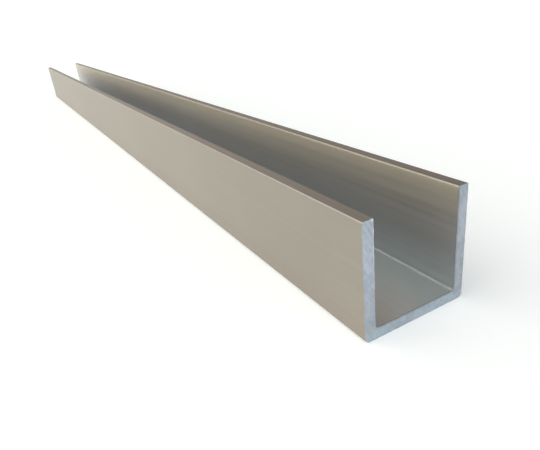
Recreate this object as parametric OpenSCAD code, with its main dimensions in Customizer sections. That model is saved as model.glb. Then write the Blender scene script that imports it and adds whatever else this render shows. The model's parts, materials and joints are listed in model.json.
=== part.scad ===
// Channel section: one straight extruded bar with a web and two equal flanges, sawn square at both ends.
// It lies on its web with the open side up. The length runs along X, the width along Y and the height along Z,
// and the origin is the middle of the web's underside.

/* [Section] */
// Width over the backs of the two flanges
channel_width = 30; // [18:1:80]
// Height of the flanges, from the underside of the web to their tips
flange_height = 30; // [12:1:80]
// Thickness of the web
web_thickness = 3; // [1.6:0.1:6]
// Thickness of each flange
flange_thickness = 3; // [1.6:0.1:6]

/* [Edges] */
// Radius of the two outer corners, where the flanges turn into the web
corner_radius = 1.3; // [0.2:0.1:1.5]
// Radius of the two fillets inside, between the flanges and the web
root_fillet = 0.8; // [0.2:0.1:2]
// Radius of the edges along the flange tips
tip_radius = 0.4; // [0.1:0.05:0.75]

/* [Stock] */
// Length between the two sawn ends
stock_length = 500; // [100:10:2000]

/* [Hidden] */
$fn = 64;

// Clear width and depth of the trough between the flanges
trough_width = channel_width - 2 * flange_thickness;
trough_depth = flange_height - web_thickness;
// How far a cutting shape runs past the surface that it cuts
overrun = 1;

// The sliver between a corner at the origin and an arc that rounds it, for a corner whose sides run along +X and +Y
module corner_sliver(radius) {
    difference() {
        translate([-overrun, -overrun])
            square(radius + overrun);
        translate([radius, radius])
            circle(r = radius);
    }
}

// Draws its children at the left of the section, and again mirrored at the right
module both_sides() {
    for (side = [0, 1])
        mirror([side, 0])
            children();
}

// The space between the flanges, with its two lower corners filleted
module trough_outline() {
    difference() {
        translate([-trough_width / 2, web_thickness])
            square([trough_width, trough_depth + overrun]);
        both_sides()
            translate([-trough_width / 2, web_thickness])
                corner_sliver(root_fillet);
    }
}

// What the rounded edges take off the left half of the section
module left_edge_roundings() {
    translate([-channel_width / 2, 0])
        corner_sliver(corner_radius);
    translate([-channel_width / 2, flange_height])
        mirror([0, 1])
            corner_sliver(tip_radius);
    translate([-trough_width / 2, flange_height])
        rotate(180)
            corner_sliver(tip_radius);
}

// The section, with the width along X and the height along Y
module channel_outline() {
    difference() {
        translate([-channel_width / 2, 0])
            square([channel_width, flange_height]);
        trough_outline();
        both_sides()
            left_edge_roundings();
    }
}

// The bar: the section drawn out along X, half its length to each side of the origin
module channel() {
    color([0.66, 0.63, 0.57])
        rotate([90, 0, 90])
            linear_extrude(height = stock_length, center = true)
                channel_outline();
}

channel();
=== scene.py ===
"""Looks of the channel section: a satin anodised bar with bare sawn ends, lying on a pale floor."""
import json
import math

import bpy
import numpy as np
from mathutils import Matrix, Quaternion, Vector


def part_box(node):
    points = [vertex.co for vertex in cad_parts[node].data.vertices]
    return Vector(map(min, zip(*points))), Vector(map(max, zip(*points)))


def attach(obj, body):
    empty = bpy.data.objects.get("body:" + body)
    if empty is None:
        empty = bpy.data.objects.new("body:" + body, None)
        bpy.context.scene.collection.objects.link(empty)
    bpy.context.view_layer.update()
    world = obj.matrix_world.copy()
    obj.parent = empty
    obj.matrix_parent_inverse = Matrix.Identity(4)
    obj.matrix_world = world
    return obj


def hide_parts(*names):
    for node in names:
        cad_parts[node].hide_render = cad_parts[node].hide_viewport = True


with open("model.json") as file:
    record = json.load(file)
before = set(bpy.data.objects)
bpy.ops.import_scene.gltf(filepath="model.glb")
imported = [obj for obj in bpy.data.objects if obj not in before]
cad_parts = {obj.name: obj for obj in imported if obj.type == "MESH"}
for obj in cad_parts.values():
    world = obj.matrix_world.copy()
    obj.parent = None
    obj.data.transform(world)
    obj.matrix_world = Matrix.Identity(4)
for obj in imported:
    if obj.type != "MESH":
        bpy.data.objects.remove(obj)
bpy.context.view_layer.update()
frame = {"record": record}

# Section of the bar, in metres: the overall sizes from the frame, the rest as in the part's source
BAR_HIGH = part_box("channel")[1]
MOUNTS = {mount["name"]: mount for mount in frame["record"]["mounts"]}
HALF_LENGTH = BAR_HIGH.x
HALF_WIDTH = BAR_HIGH.y
HEIGHT = BAR_HIGH.z
WEB = MOUNTS["web_seat"]["pos_m"][2]
FLANGE = 0.003
HALF_TROUGH = HALF_WIDTH - FLANGE
CORNER_RADIUS = 0.0013
ROOT_FILLET = 0.0008
TIP_RADIUS = 0.0004

# Steps that the mesh takes along each stretch of the section
TIP_STEPS = 8
LEG_STEPS = 150
CORNER_FLAT_STEPS = 12
CORNER_ARC_STEPS = 12
HALF_WEB_STEPS = 66
WALL_STEPS = 18
BREAK_STEPS = 5

# Broken edge round each sawn end, which the file has left a little uneven except near the flange tips
EDGE_BREAK = 0.00020
EDGE_WANDER = 0.00008
EVEN_TIP = 0.002
WANDER_LENGTHS = (0.0021, 0.0034, 0.0057, 0.0093)

# Saw marks on the ends: arcs about the middle of the blade, in the section's own plane
BLADE_ACROSS = 0.120
BLADE_UP = 0.095
MARK_COUNT = 14
MARK_SHORTEST = 0.00045
MARK_LONGEST = 0.0024
MARK_SPREAD = (0.9, 1.1)
MARK_DEPTH = 0.000015
MARK_LEVELLING = 1.5
PATCH_LENGTH = 0.006
PATCH_SPREAD = (0.6, 1.6)
SLOPE_STEP = MARK_SHORTEST / 20
END_SEEDS = {1: 3, -1: 8}

# Layout of the bar's own texture map: the sides unrolled as one strip, and above it the two ends, larger
STRIP_HIGH = 0.58
END_CORNERS = {1: (0.02, 0.60), -1: (0.52, 0.60)}
END_SIDE = 0.38
MAP_MARGIN = 0.004

# Colours of the anodised skin, which carry painted light and shade by zone
CHAMPAGNE = (0.368, 0.333, 0.284)
# Painted shade: the outer face darkens towards the floor, up to the height below
FOOT_SHADE = (0.353, 0.312, 0.268)
FOOT_SHADE_TO = 0.009
# Painted shade on the outer flange's rounded bottom corner
CORNER_SHADE = (0.317, 0.300, 0.272)
# Flange tops: colours that stand for the light and shade on them, the far top a darker painted-shade copy
# of the near one; the rounded tip edges get a painted tint for their highlight lines
TIP_COLOUR = (0.401, 0.333, 0.278)
FAR_TIP_SHADE = (0.323, 0.266, 0.216)
TIP_HIGHLIGHT_TINT = (0.356, 0.318, 0.290)
# Painted light across the trough's floor: warm light thrown from the near flange on one side, cool light
# from the open end on the other
WEB_WARM_LIGHT = (0.567, 0.537, 0.553)
WEB_COOL_LIGHT = (0.442, 0.483, 0.500)
WEB_WARM_AT = -0.011
WEB_COOL_AT = 0.008
# Painted shade in the root fillets, which dims their highlight lines
FILLET_SHADE = (0.352, 0.373, 0.387)

# Painted light and shade down the trough's walls, by height: warm and lighter near the tips, a darker band
# part way down, and greyer below
WALL_LIGHT_AND_SHADE = {
    0.004: (0.570, 0.592, 0.594),
    0.011: (0.573, 0.580, 0.589),
    0.019: (0.540, 0.513, 0.494),
    0.025: (0.558, 0.519, 0.458),
    0.029: (0.594, 0.535, 0.437),
}

# Middle of a noise texture's values, and how far to each side of it most of them lie
NOISE_MIDDLE = 0.5
NOISE_REACH = 0.25

# Detail of the anodised skin: the widths of its marks in metres, and how much they show
DIE_LINES = {"width": 0.0009, "detail": 3}
DIE_LINE_STRETCH = 250
CLOUDS = {"width": 0.045, "detail": 2}
GRAIN = {"width": 0.00026, "detail": 1}
CLOUD_SHARE = 0.6
GRAIN_SHARE = 0.5
SKIN_SWING = 0.35
SKIN_SHADES = (0.955, 1.045)
SKIN_ROUGHNESS = (0.47, 0.52)
SKIN_BUMP = 0.000006
SKIN_METAL = 0.95

# Colours of the sawn ends, with painted light, shade and glint among them
# Painted light and shade on the sawn ends: lighter up one flange's end and across the web, darker elsewhere
SAWN_LIT = (0.428, 0.470, 0.552)
SAWN_SHADED = (0.357, 0.393, 0.441)
SAWN_WEB_LIT = (0.374, 0.438, 0.484)
SAWN_LILAC = (0.395, 0.407, 0.462)
# Painted shade along the sawn face's outer edges
OUTER_EDGE_SHADE = (0.310, 0.315, 0.330)
# Painted shade along the sawn face's edges at the trough
INNER_EDGE_SHADE = (0.215, 0.220, 0.216)
# A burr, brightened with a painted glint
BURR_GLINT = (0.740, 0.780, 0.810)

# Detail of the sawn ends: the widths of their marks in metres, and how much they show
SAWN_PATCHES = {"width": 0.0032, "detail": 2}
BLOTCHES = {"width": 0.0012, "detail": 3}
BLOTCH_SHARE = 0.6
LILAC_PATCHES = {"width": 0.0026, "detail": 2}
LILAC_SPAN = (-0.05, 0.2)
LILAC_SHARE = 0.6
STREAKS = {"width": 0.0006, "stretch": 8, "detail": 3}
STREAK_PATCHES = {"width": 0.006, "detail": 1}
STREAK_SPAN = (-0.08, 0.12)
STREAKS_FROM = 0.012
STREAK_GROWTH = (0.4, 1.5)
STREAK_SHARE = 1.4
TOOTH_LINES = {"width": 0.00016, "stretch": 50, "detail": 1}
TOOTH_SHARE = 0.5
SAWN_SWING = 0.26
SAWN_SHADES = (0.93, 1.07)
# Where the painted light on the sawn ends lies, and how it fades towards the tips
LIT_ACROSS = (-0.0150, -0.0105)
LIT_UP = (0.004, 0.020)
LIT_FADE_UP = (0.022, 0.028)
LIT_FADE_SHARE = 0.35
OUTER_EDGE_WIDTH = 0.0004
OUTER_EDGE_SHARE = 0.45
INNER_EDGE_WIDTH = 0.0006
INNER_EDGE_SHARE = 0.8
INNER_EDGE_FADE = 0.002
# Where the burr's painted glint lies
BURR_GLINT_WIDTH = 0.0006
BURR_GLINT_FROM = 0.010
BURR_GLINT_SHARE = 0.8
BURR_GLINT_TIP = 0.0015
BURR_GLINT_PATCHES = {"width": 0.002, "detail": 2}
BURR_GLINT_SPAN = (-0.15, 0.1)
BURR_GLINT_SHADES = (0.2, 1)
SAWN_ROUGHNESS = (0.58, 0.42)
SAWN_BUMP = 0.000008
SAWN_METAL = 0.9

# Floor, which reaches to the horizon
FLOOR_REACH = 12
FLOOR_WHITE = 0.8
FLOOR_ROUGHNESS = 0.9
FLOOR_GLOW = 0.25

# Studio dome: a key light at the left, a cooler one before the near end, and the grey of the rest.
# Angles are in degrees, and the reach is measured from a light's middle out to where it has faded.
KEY_LIGHT = {"azimuth": 241, "elevation": 34, "reach": 56, "colour": (1.90, 1.90, 1.70)}
FRONT_LIGHT = {"azimuth": 352, "elevation": 28, "reach": 52, "colour": (1.80, 1.97, 2.05)}
HORIZON = 1.0
DIM = 0.15
HORIZON_TO = 0.27
DIM_FROM = 0.46

# Camera, fitted to the photo's straight edges
CAMERA_PLACE = (HALF_LENGTH + 0.0681, -0.0692, 0.0718)
CAMERA_AIM = (HALF_LENGTH - 0.0688, -0.0004, 0.0)
CAMERA_ROLL = math.radians(-6.95)
CAMERA_LENS = 32.42
SENSOR_WIDTH = 36
CAMERA_CLIP = 0.005

# Numbers of the bar's two materials, and of the Mix node's sockets for colours
SKIN = 0
BARE = 1
MIX_COLOUR_INPUTS = (6, 7)
MIX_COLOUR_OUTPUT = 2


def straight(start, stop, steps, normal):
    """Points and normals from start up to, and without, stop."""
    share = np.arange(steps)[:, None] / steps
    points = np.array(start) + share * (np.array(stop) - np.array(start))
    return points, np.tile(normal, (steps, 1)).astype(float)


def arc(centre, radius, start, stop, steps, side=1):
    """Points and normals along an arc, without its last point. A side of -1 turns the normals inward."""
    angle = np.radians(start + (stop - start) * np.arange(steps) / steps)
    spokes = np.stack([np.cos(angle), np.sin(angle)], 1)
    return np.array(centre) + radius * spokes, side * spokes


def whole_path(left_half, last, last_normal):
    """A path from tip to tip, from the stretches of its left half and its middle point."""
    points = np.concatenate([stretch[0] for stretch in left_half])
    normals = np.concatenate([stretch[1] for stretch in left_half])
    mirror = np.array([-1.0, 1.0])
    points = np.concatenate([points, [last], points[::-1] * mirror])
    normals = np.concatenate([normals, [last_normal], normals[::-1] * mirror])
    return points, normals


def outer_path():
    """The outside of the section: down the left flange, along the underside and up the right flange."""
    back = -HALF_WIDTH
    leg_foot = WEB + ROOT_FILLET
    web_start = -HALF_TROUGH + ROOT_FILLET
    return whole_path([
        arc((back + TIP_RADIUS, HEIGHT - TIP_RADIUS), TIP_RADIUS, 90, 180, TIP_STEPS),
        straight((back, HEIGHT - TIP_RADIUS), (back, leg_foot), LEG_STEPS, (-1, 0)),
        straight((back, leg_foot), (back, CORNER_RADIUS), CORNER_FLAT_STEPS, (-1, 0)),
        arc((back + CORNER_RADIUS, CORNER_RADIUS), CORNER_RADIUS, 180, 270, CORNER_ARC_STEPS),
        straight((back + CORNER_RADIUS, 0), (web_start, 0), CORNER_FLAT_STEPS, (0, -1)),
        straight((web_start, 0), (0, 0), HALF_WEB_STEPS, (0, -1)),
    ], (0, 0), (0, -1))


def inner_path():
    """The inside of the section: down the left flange, along the trough's floor and up the right flange."""
    face = -HALF_TROUGH
    leg_foot = WEB + ROOT_FILLET
    web_start = face + ROOT_FILLET
    fillet_steps = 2 * CORNER_FLAT_STEPS + CORNER_ARC_STEPS
    return whole_path([
        arc((face - TIP_RADIUS, HEIGHT - TIP_RADIUS), TIP_RADIUS, 90, 0, TIP_STEPS),
        straight((face, HEIGHT - TIP_RADIUS), (face, leg_foot), LEG_STEPS, (1, 0)),
        arc((web_start, leg_foot), ROOT_FILLET, 180, 270, fillet_steps, side=-1),
        straight((web_start, WEB), (0, WEB), HALF_WEB_STEPS, (0, 1)),
    ], (0, WEB), (0, 1))


def section_loop():
    """Points and normals once round the section, with the flange tips between the two paths."""
    outer, outer_normals = outer_path()
    inner, inner_normals = inner_path()
    up = (0, 1)
    right_tip, right_normals = straight(outer[-1], inner[-1], WALL_STEPS, up)
    left_tip, left_normals = straight(inner[0], outer[0], WALL_STEPS, up)
    points = np.concatenate([outer, right_tip[1:], inner[::-1], left_tip[1:]])
    normals = np.concatenate([outer_normals, right_normals[1:], inner_normals[::-1], left_normals[1:]])
    return points, normals


def girth(loop):
    """The way round the section to each station, and at last the whole way round."""
    steps = np.linalg.norm(np.roll(loop, -1, axis=0) - loop, axis=1)
    return np.concatenate([[0], np.cumsum(steps)])


def edge_break(loop, seed):
    """How far the file has broken the edge at each station of the loop."""
    draw = np.random.default_rng(seed)
    way = girth(loop)
    wander = np.zeros(len(loop))
    for length in WANDER_LENGTHS:
        turns = round(way[-1] / length)
        wander += np.sin(math.tau * turns * way[:-1] / way[-1] + draw.uniform(0, math.tau))
    uneven = np.clip((HEIGHT - loop[:, 1]) / EVEN_TIP, 0, 1)
    return EDGE_BREAK + EDGE_WANDER * uneven * wander / len(WANDER_LENGTHS)


def wave(way, length, draw):
    """A sine along a way, which starts at a drawn place in its turn."""
    return np.sin(math.tau * way / length + draw.uniform(0, math.tau))


def saw_depth(places, seed):
    """How deep the saw has cut below the end's plane at places in the section, in metres."""
    draw = np.random.default_rng(seed)
    radius = np.hypot(places[:, 0] - BLADE_ACROSS, places[:, 1] - BLADE_UP)
    total = np.zeros(len(places))
    for length in np.geomspace(MARK_SHORTEST, MARK_LONGEST, MARK_COUNT):
        length *= draw.uniform(*MARK_SPREAD)
        heading = draw.uniform(0, math.tau)
        along = places @ (math.cos(heading), math.sin(heading))
        patch = 0.5 + 0.5 * wave(along, PATCH_LENGTH * draw.uniform(*PATCH_SPREAD), draw)
        total += length * patch * wave(radius, length, draw)
    return MARK_DEPTH * (0.5 + 0.5 * np.tanh(total / (MARK_LEVELLING * MARK_LONGEST)))


def saw_slope(places, seed):
    """How the depth of the saw's cut changes across and up the section."""
    aside = (SLOPE_STEP, 0)
    higher = (0, SLOPE_STEP)
    across = saw_depth(places + aside, seed) - saw_depth(places - aside, seed)
    up = saw_depth(places + higher, seed) - saw_depth(places - higher, seed)
    return np.stack([across, up], 1) / (2 * SLOPE_STEP)


class BarMesh:
    """Gathers the bar's vertices and normals, and its faces with their finish and place in the map."""

    def __init__(self):
        self.places = []
        self.normals = []
        self.faces = []
        self.finishes = []
        self.spots = []
        self.count = 0

    def add_points(self, places, normals):
        """Adds vertices and gives their numbers."""
        self.places.append(places)
        self.normals.append(normals)
        self.count += len(places)
        return np.arange(self.count - len(places), self.count)

    def add_face(self, corners, spots, finish):
        """Adds one face, with the place of each of its corners in the map."""
        self.faces.append([int(corner) for corner in corners])
        self.spots.append(np.asarray(spots))
        self.finishes.append(finish)

    def add_grid(self, grid, spots, finish, turned):
        """Adds the quads of a grid of vertex numbers, with a grid of places in the map beside it."""
        order = [(0, 0), (0, 1), (1, 1), (1, 0)]
        for row in range(grid.shape[0] - 1):
            for column in range(grid.shape[1] - 1):
                corners = [(row + down, column + on) for down, on in (order[::-1] if turned else order)]
                self.add_face([grid[c] for c in corners], [spots[c] for c in corners], finish)


def end_spots(section, side):
    """Where places in the section lie in an end's part of the map."""
    corner = np.array(END_CORNERS[side])
    return corner + (section + (HALF_WIDTH, 0)) * END_SIDE / (2 * HALF_WIDTH)


def edge_rings(bar, loop, normals, side):
    """Rings of vertices that turn the sides into one sawn end: their numbers and spots, a row a ring."""
    seed = END_SEEDS[side]
    reach = edge_break(loop, seed)[:, None]
    rings = []
    spots = []
    for turn in np.linspace(0, math.pi / 2, BREAK_STEPS + 1):
        section = loop - normals * reach * (1 - math.cos(turn))
        cut = saw_depth(section, seed) * math.sin(turn)
        slope = saw_slope(section, seed) * math.sin(turn)
        along = side * (HALF_LENGTH - reach[:, 0] * (1 - math.sin(turn)) - cut)
        outward = np.full(len(loop), side * math.sin(turn))
        facing = np.column_stack([outward, normals * math.cos(turn) + slope])
        rings.append(bar.add_points(np.column_stack([along, section]), facing))
        spots.append(end_spots(loop - normals * reach * (1 - math.pi / 2 + turn), side))
    return np.array(rings), np.array(spots)


def rim_numbers(count, stations):
    """Which station of a rim lies at each edge of a grid, whose rows run from tip to tip."""
    numbers = np.zeros((WALL_STEPS + 1, stations), int)
    numbers[0] = np.arange(stations)
    numbers[-1] = np.arange(stations + WALL_STEPS - 1, 2 * stations + WALL_STEPS - 1)[::-1]
    numbers[1:-1, -1] = np.arange(stations, stations + WALL_STEPS - 1)
    numbers[1:-1, 0] = np.arange(2 * stations + WALL_STEPS - 1, count)[::-1]
    return numbers


def end_face(bar, rim, rim_spots, stations, side):
    """The sawn face inside a rim of vertices, on straight lines from its outer to its inner path."""
    seed = END_SEEDS[side]
    numbers = rim_numbers(len(rim), stations)
    edges = np.concatenate(bar.places)[rim, 1:][numbers]
    share = np.linspace(0, 1, WALL_STEPS + 1)[1:-1, None, None]
    section = edges[:1, 1:-1] * (1 - share) + edges[-1:, 1:-1] * share
    flat_section = section.reshape(-1, 2)
    middle = bar.add_points(
        np.column_stack([side * (HALF_LENGTH - saw_depth(flat_section, seed)), flat_section]),
        np.column_stack([np.full(len(flat_section), float(side)), saw_slope(flat_section, seed)]),
    )
    grid = rim[numbers]
    spots = rim_spots[numbers]
    grid[1:-1, 1:-1] = middle.reshape(section.shape[:2])
    spots[1:-1, 1:-1] = end_spots(section, side)
    bar.add_grid(grid, spots, BARE, turned=side < 0)


def bar_sides(bar, near, far, loop):
    """The long faces between the two ends, which the map shows unrolled."""
    way = girth(loop)
    heights = MAP_MARGIN + (STRIP_HIGH - 2 * MAP_MARGIN) * way / way[-1]
    far_spots = np.column_stack([np.full(len(way), MAP_MARGIN), heights])
    near_spots = np.column_stack([np.full(len(way), 1 - MAP_MARGIN), heights])
    grid = np.stack([np.append(far, far[0]), np.append(near, near[0])])
    bar.add_grid(grid, np.stack([far_spots, near_spots]), SKIN, turned=False)


def build_bar():
    """The whole bar as one closed mesh."""
    bar = BarMesh()
    loop, normals = section_loop()
    stations = len(outer_path()[0])
    first_rings = {}
    for side in END_SEEDS:
        rings, spots = edge_rings(bar, loop, normals, side)
        closed = np.concatenate([rings, rings[:, :1]], axis=1)
        closed_spots = np.concatenate([spots, spots[:, :1]], axis=1)
        bar.add_grid(closed, closed_spots, BARE, turned=side < 0)
        end_face(bar, rings[-1], spots[-1], stations, side)
        first_rings[side] = rings[0]
    bar_sides(bar, first_rings[1], first_rings[-1], loop)
    return bar


def make_object(name, bar, materials):
    """A Blender object from the gathered mesh."""
    mesh = bpy.data.meshes.new(name)
    mesh.from_pydata(np.concatenate(bar.places), [], bar.faces)
    for material in materials:
        mesh.materials.append(material)
    mesh.polygons.foreach_set("material_index", bar.finishes)
    mesh.polygons.foreach_set("use_smooth", [True] * len(bar.faces))
    spots = mesh.uv_layers.new(name="OFBake")
    spots.uv.foreach_set("vector", np.concatenate(bar.spots).ravel())
    normals = np.concatenate(bar.normals)
    normals /= np.linalg.norm(normals, axis=1)[:, None]
    mesh.normals_split_custom_set_from_vertices(normals)
    piece = bpy.data.objects.new(name, mesh)
    bpy.context.scene.collection.objects.link(piece)
    return piece


def new_material(name):
    """A material with its tree and its Principled shader."""
    material = bpy.data.materials.new(name)
    material.use_nodes = True
    tree = material.node_tree
    shader = next(node for node in tree.nodes if node.type == "BSDF_PRINCIPLED")
    return material, tree, shader


def add_node(tree, kind, inputs, **settings):
    """Adds a node. Each of its inputs takes a value or another node's output."""
    made = tree.nodes.new("ShaderNode" + kind)
    for name, value in settings.items():
        setattr(made, name, value)
    for key, value in inputs.items():
        if isinstance(value, bpy.types.NodeSocket):
            tree.links.new(value, made.inputs[key])
        else:
            made.inputs[key].default_value = value
    return made


def maths(tree, operation, *values):
    """The output of a Math node."""
    return add_node(tree, "Math", dict(enumerate(values)), operation=operation).outputs[0]


def spread(tree, value, low, high, to_low, to_high):
    """A value taken from one span to another, and held at its ends, on a smooth curve."""
    inputs = {"Value": value, "From Min": low, "From Max": high, "To Min": to_low, "To Max": to_high}
    return add_node(tree, "MapRange", inputs, interpolation_type="SMOOTHSTEP").outputs["Result"]


def noise(tree, place, width, detail):
    """A noise texture's value about its middle, with marks of about a given width in metres."""
    inputs = {"Vector": place, "Scale": 1 / width, "Detail": detail}
    grey = add_node(tree, "TexNoise", inputs).outputs["Fac"]
    return maths(tree, "SUBTRACT", grey, NOISE_MIDDLE)


def drawn_out(tree, place, scale):
    """Places scaled along each axis, so that noise over them is drawn out."""
    return add_node(tree, "Mapping", {"Vector": place, "Scale": scale}).outputs[0]


def mix_colours(tree, share, first, second):
    """A colour between two others, each of them a colour or another node's output."""
    inputs = {0: share}
    for socket, colour in zip(MIX_COLOUR_INPUTS, (first, second)):
        inputs[socket] = colour if isinstance(colour, bpy.types.NodeSocket) else (*colour, 1)
    return add_node(tree, "Mix", inputs, data_type="RGBA").outputs[MIX_COLOUR_OUTPUT]


def scaled(tree, colour, share):
    """A colour made darker or lighter."""
    return add_node(tree, "VectorMath", {0: colour, "Scale": share}, operation="SCALE").outputs[0]


def colour_ramp(tree, share, stops):
    """The colour at a share of the way along a row of stops, which all lie between 0 and 1."""
    made = add_node(tree, "ValToRGB", {0: share})
    elements = made.color_ramp.elements
    for place, colour in stops.items():
        elements.new(place).color = (*colour, 1)
    elements.remove(elements[0])
    elements.remove(elements[-1])
    made.color_ramp.interpolation = "B_SPLINE"
    return made.outputs["Color"]


def own_places(tree):
    """A point's place on the bar: the vector, and its three parts."""
    place = add_node(tree, "TexCoord", {}).outputs["Object"]
    parts = add_node(tree, "SeparateXYZ", {0: place})
    return place, parts.outputs["X"], parts.outputs["Y"], parts.outputs["Z"]


def trough_painted_light(tree, across, sideways, up):
    """Colours inside the trough, all painted light and shade: by height on its walls, by width on the web,
    darker in the fillets.
    """
    # Painted light and shade down the walls, by height
    stops = {height / HEIGHT: colour for height, colour in WALL_LIGHT_AND_SHADE.items()}
    lit_and_shaded_wall = colour_ramp(tree, maths(tree, "DIVIDE", up, HEIGHT), stops)
    # Painted light across the web: warm on one side, cool on the other
    warm_light_share = spread(tree, across, WEB_WARM_AT, WEB_COOL_AT, 1, 0)
    web = mix_colours(tree, warm_light_share, WEB_COOL_LIGHT, WEB_WARM_LIGHT)
    on_web = spread(tree, up, WEB, WEB + ROOT_FILLET, 1, 0)
    plain = mix_colours(tree, on_web, lit_and_shaded_wall, web)
    # Painted shade in the root fillets
    from_wall = maths(tree, "SUBTRACT", HALF_TROUGH, sideways)
    from_web = maths(tree, "SUBTRACT", up, WEB)
    beside_wall = spread(tree, from_wall, ROOT_FILLET / 2, ROOT_FILLET, 1, 0)
    low_down = spread(tree, from_web, ROOT_FILLET / 5, ROOT_FILLET / 2, 1, 0)
    in_fillet_shade = maths(tree, "MULTIPLY", beside_wall, low_down)
    return mix_colours(tree, in_fillet_shade, plain, FILLET_SHADE)


def skin_colour(tree, across, up):
    """The anodised colour: full outside but for painted shade at the foot and bottom corner, paler inside
    the trough as painted light, and deeper on the flange tips, whose colours stand for the light and shade
    on them, with a painted highlight tint on their edges.
    """
    sideways = maths(tree, "ABSOLUTE", across)
    between = maths(tree, "LESS_THAN", sideways, HALF_TROUGH + TIP_RADIUS / 2)
    above_web = maths(tree, "GREATER_THAN", up, WEB / 2)
    inside = maths(tree, "MULTIPLY", between, above_web)
    # Painted shade on the outer face towards the floor
    flat = mix_colours(tree, spread(tree, up, 0, FOOT_SHADE_TO, 0, 1), FOOT_SHADE, CHAMPAGNE)
    # Painted shade on the rounded bottom corner
    in_corner_shade = spread(tree, up, CORNER_RADIUS / 2, CORNER_RADIUS, 1, 0)
    outside = mix_colours(tree, in_corner_shade, flat, CORNER_SHADE)
    # Inside the trough the colours are paler: painted light against its shade
    colour = mix_colours(tree, inside, outside, trough_painted_light(tree, across, sideways, up))
    # Painted tint for the highlight lines on the rounded tip edges
    on_highlight_edge = spread(tree, up, HEIGHT - TIP_RADIUS, HEIGHT - TIP_RADIUS / 2, 0, 1)
    edged = mix_colours(tree, on_highlight_edge, colour, TIP_HIGHLIGHT_TINT)
    # Flange tops, the far one in painted shade
    on_tip = spread(tree, up, HEIGHT - TIP_RADIUS / 10, HEIGHT - TIP_RADIUS / 20, 0, 1)
    far_side = maths(tree, "GREATER_THAN", across, 0)
    return mix_colours(tree, on_tip, edged, mix_colours(tree, far_side, TIP_COLOUR, FAR_TIP_SHADE))


def anodised_skin():
    """Satin anodised aluminium, with faint lines along the bar from the extrusion die, and light and shade
    painted into its colours by zone.
    """
    material, tree, shader = new_material("anodised_skin")
    place, along, across, up = own_places(tree)
    die_lines = noise(tree, drawn_out(tree, place, (1 / DIE_LINE_STRETCH, 1, 1)), **DIE_LINES)
    clouds = noise(tree, place, **CLOUDS)
    grain = noise(tree, place, **GRAIN)
    relief = maths(tree, "MULTIPLY_ADD", grain, GRAIN_SHARE, die_lines)
    tone = maths(tree, "MULTIPLY_ADD", clouds, CLOUD_SHARE, relief)
    shade = spread(tree, tone, -SKIN_SWING, SKIN_SWING, *SKIN_SHADES)
    colour = skin_colour(tree, across, up)
    tree.links.new(scaled(tree, colour, shade), shader.inputs["Base Color"])
    roughness = spread(tree, die_lines, -NOISE_REACH, NOISE_REACH, *SKIN_ROUGHNESS)
    tree.links.new(roughness, shader.inputs["Roughness"])
    bump = add_node(tree, "Bump", {"Height": relief, "Distance": SKIN_BUMP})
    tree.links.new(bump.outputs[0], shader.inputs["Normal"])
    shader.inputs["Metallic"].default_value = SKIN_METAL
    return material


def blade_places(tree, along, across, up):
    """Places measured out from the saw blade's middle, along its arcs, and by end of the bar."""
    from_blade_across = maths(tree, "SUBTRACT", across, BLADE_ACROSS)
    from_blade_up = maths(tree, "SUBTRACT", up, BLADE_UP)
    inputs = {0: from_blade_across, 1: from_blade_up}
    flat = add_node(tree, "CombineXYZ", inputs).outputs[0]
    outward = add_node(tree, "VectorMath", {0: flat}, operation="LENGTH").outputs["Value"]
    angle = maths(tree, "ARCTAN2", from_blade_up, from_blade_across)
    round_arc = maths(tree, "MULTIPLY", angle, math.hypot(BLADE_ACROSS, BLADE_UP))
    return add_node(tree, "CombineXYZ", {0: outward, 1: round_arc, 2: along}).outputs[0]


def arc_marks(tree, by_blade, width, stretch, detail):
    """Noise drawn out along the blade's arcs."""
    return noise(tree, drawn_out(tree, by_blade, (1, 1 / stretch, 1)), width, detail)


def saw_streaks(tree, place, up, by_blade):
    """Streaks along the blade's arcs, which show in patches, and more so towards the flange tips."""
    patches = spread(tree, noise(tree, place, **STREAK_PATCHES), *STREAK_SPAN, 0, 1)
    shown = maths(tree, "MULTIPLY", patches, spread(tree, up, STREAKS_FROM, HEIGHT, *STREAK_GROWTH))
    return maths(tree, "MULTIPLY", arc_marks(tree, by_blade, **STREAKS), shown)


def outer_edge_shade_share(tree, across, up):
    """How much a point of the sawn face belongs to the painted shade along the outer edges."""
    from_back = maths(tree, "SUBTRACT", HALF_WIDTH, maths(tree, "ABSOLUTE", across))
    from_outside = maths(tree, "MINIMUM", from_back, up)
    return spread(tree, from_outside, 0, OUTER_EDGE_WIDTH, OUTER_EDGE_SHARE, 0)


def inner_edge_shade_share(tree, across, up):
    """How much a point of the sawn face belongs to the painted shade along the trough, clear of the burr.
    """
    in_flange = maths(tree, "SUBTRACT", maths(tree, "ABSOLUTE", across), HALF_TROUGH)
    in_web = maths(tree, "SUBTRACT", WEB, up)
    from_trough = maths(tree, "MAXIMUM", in_flange, in_web)
    close = spread(tree, from_trough, 0, INNER_EDGE_WIDTH, INNER_EDGE_SHARE, 0)
    off_burr = spread(tree, across, -HALF_TROUGH, INNER_EDGE_FADE - HALF_TROUGH, 0, 1)
    return maths(tree, "MULTIPLY", close, off_burr)


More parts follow.
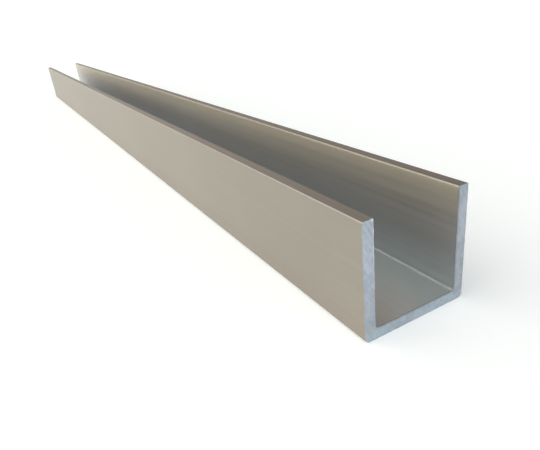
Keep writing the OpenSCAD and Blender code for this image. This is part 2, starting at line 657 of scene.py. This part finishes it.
def burr_glint_share(tree, place, across, up):
    """1 where the saw has left a burr, brightened with a painted glint: along one flange's inner edge, and
    most of all at its tip.
    """
    from_edge = maths(tree, "ABSOLUTE", maths(tree, "ADD", across, HALF_TROUGH))
    close = spread(tree, from_edge, 0, BURR_GLINT_WIDTH, 1, 0)
    high = spread(tree, up, BURR_GLINT_FROM, HEIGHT, 0, BURR_GLINT_SHARE)
    patchy = spread(tree, noise(tree, place, **BURR_GLINT_PATCHES), *BURR_GLINT_SPAN, *BURR_GLINT_SHADES)
    along_edge = maths(tree, "MULTIPLY", maths(tree, "MULTIPLY", close, high), patchy)
    from_tip = maths(tree, "SUBTRACT", HEIGHT, up)
    from_corner = maths(tree, "ADD", from_edge, from_tip)
    return maths(tree, "MAXIMUM", along_edge, spread(tree, from_corner, 0, BURR_GLINT_TIP, 1, 0))


def sawn_colour(tree, place, across, up, tone):
    """The bare metal's colour: painted light up one flange, tinted in patches, painted shade along its
    edges, and a painted glint on the burr.
    """
    # Painted light up one flange's end, fading towards its tip and foot
    on_flange = spread(tree, across, *LIT_ACROSS, 1, 0)
    above_foot = spread(tree, up, *LIT_UP, 0, 1)
    below_tip = spread(tree, up, *LIT_FADE_UP, 1, LIT_FADE_SHARE)
    by_height = maths(tree, "MULTIPLY", above_foot, below_tip)
    painted_light = maths(tree, "MULTIPLY", on_flange, by_height)
    on_web = spread(tree, up, WEB / 2, WEB + ROOT_FILLET, 1, 0)
    metal = mix_colours(tree, painted_light, mix_colours(tree, on_web, SAWN_SHADED, SAWN_WEB_LIT), SAWN_LIT)
    lilac = spread(tree, noise(tree, place, **LILAC_PATCHES), *LILAC_SPAN, 0, LILAC_SHARE)
    tinted = mix_colours(tree, lilac, metal, SAWN_LILAC)
    shaded = scaled(tree, tinted, spread(tree, tone, 0, 1, *SAWN_SHADES))
    # Painted shade along the outer edges
    edged_outside = mix_colours(tree, outer_edge_shade_share(tree, across, up), shaded, OUTER_EDGE_SHADE)
    # Painted shade along the trough's edges
    edged = mix_colours(tree, inner_edge_shade_share(tree, across, up), edged_outside, INNER_EDGE_SHADE)
    # The burr's painted glint
    return mix_colours(tree, burr_glint_share(tree, place, across, up), edged, BURR_GLINT)


def sawn_metal():
    """Bare aluminium as the saw leaves it: patches, blotches, streaks, tooth lines and a burr, with painted
    light, shade and a painted glint in its colour.
    """
    material, tree, shader = new_material("sawn_metal")
    place, along, across, up = own_places(tree)
    by_blade = blade_places(tree, along, across, up)
    streaks = maths(tree, "MULTIPLY", saw_streaks(tree, place, up, by_blade), STREAK_SHARE)
    blotches = maths(tree, "MULTIPLY", noise(tree, place, **BLOTCHES), BLOTCH_SHARE)
    tooth_lines = maths(tree, "MULTIPLY", arc_marks(tree, by_blade, **TOOTH_LINES), TOOTH_SHARE)
    relief = maths(tree, "ADD", maths(tree, "ADD", streaks, blotches), tooth_lines)
    swing = maths(tree, "ADD", noise(tree, place, **SAWN_PATCHES), relief)
    tone = spread(tree, swing, -SAWN_SWING, SAWN_SWING, 0, 1)
    tree.links.new(sawn_colour(tree, place, across, up, tone), shader.inputs["Base Color"])
    tree.links.new(spread(tree, tone, 0, 1, *SAWN_ROUGHNESS), shader.inputs["Roughness"])
    bump = add_node(tree, "Bump", {"Height": relief, "Distance": SAWN_BUMP})
    tree.links.new(bump.outputs[0], shader.inputs["Normal"])
    shader.inputs["Metallic"].default_value = SAWN_METAL
    return material


def floor_paint():
    """White paint that the camera and reflections see at full white, apart from the object's shadow."""
    material, tree, shader = new_material("floor_paint")
    shader.inputs["Base Color"].default_value = (FLOOR_WHITE, FLOOR_WHITE, FLOOR_WHITE, 1)
    shader.inputs["Roughness"].default_value = FLOOR_ROUGHNESS
    shader.inputs["Emission Color"].default_value = (1, 1, 1, 1)
    rays = add_node(tree, "LightPath", {}).outputs
    seen = maths(tree, "MAXIMUM", rays["Is Camera Ray"], rays["Is Glossy Ray"])
    seen = maths(tree, "MAXIMUM", seen, rays["Is Transmission Ray"])
    tree.links.new(maths(tree, "MULTIPLY", seen, FLOOR_GLOW), shader.inputs["Emission Strength"])
    return material


def pale_floor():
    """A wide plain floor that isn't part of the object."""
    mesh = bpy.data.meshes.new("floor")
    corners = [(-1, -1), (1, -1), (1, 1), (-1, 1)]
    mesh.from_pydata([(FLOOR_REACH * x, FLOOR_REACH * y, 0) for x, y in corners], [], [(0, 1, 2, 3)])
    mesh.materials.append(floor_paint())
    floor = bpy.data.objects.new("floor", mesh)
    bpy.context.scene.collection.objects.link(floor)


def dome_light(tree, direction, light):
    """The colour that one soft light adds to the dome: full at its middle, and fading out to its rim."""
    azimuth, elevation, reach = (math.radians(light[angle]) for angle in ("azimuth", "elevation", "reach"))
    middle = (
        math.cos(elevation) * math.cos(azimuth),
        math.cos(elevation) * math.sin(azimuth),
        math.sin(elevation),
    )
    nearness = add_node(tree, "VectorMath", {0: direction, 1: middle}, operation="DOT_PRODUCT")
    share = spread(tree, nearness.outputs["Value"], math.cos(reach), 1, 0, 1)
    return scaled(tree, light["colour"], share)


def studio_world():
    """A dome with two large soft lights, pale at the horizon and dim elsewhere."""
    world = bpy.data.worlds.new("studio")
    world.use_nodes = True
    tree = world.node_tree
    direction = add_node(tree, "TexCoord", {}).outputs["Generated"]
    up = add_node(tree, "SeparateXYZ", {0: direction}).outputs["Z"]
    total = spread(tree, up, HORIZON_TO, DIM_FROM, HORIZON, DIM)
    for light in (KEY_LIGHT, FRONT_LIGHT):
        added = {0: total, 1: dome_light(tree, direction, light)}
        total = add_node(tree, "VectorMath", added, operation="ADD").outputs[0]
    tree.links.new(total, tree.nodes["Background"].inputs["Color"])
    bpy.context.scene.world = world


def photo_camera():
    """The camera at the photo's place, without shift."""
    data = bpy.data.cameras.new("camera")
    data.sensor_width = SENSOR_WIDTH
    data.lens = CAMERA_LENS
    data.clip_start = CAMERA_CLIP
    camera = bpy.data.objects.new("camera", data)
    camera.location = CAMERA_PLACE
    facing = (Vector(CAMERA_AIM) - Vector(CAMERA_PLACE)).to_track_quat("-Z", "Y")
    camera.rotation_mode = "QUATERNION"
    camera.rotation_quaternion = facing @ Quaternion((0, 0, 1), CAMERA_ROLL)
    bpy.context.scene.collection.objects.link(camera)
    bpy.context.scene.camera = camera


channel_bar = make_object("channel_bar", build_bar(), [anodised_skin(), sawn_metal()])
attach(channel_bar, "root")
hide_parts("channel")

pale_floor()
studio_world()
photo_camera()
bpy.context.scene.view_settings.view_transform = "Standard"
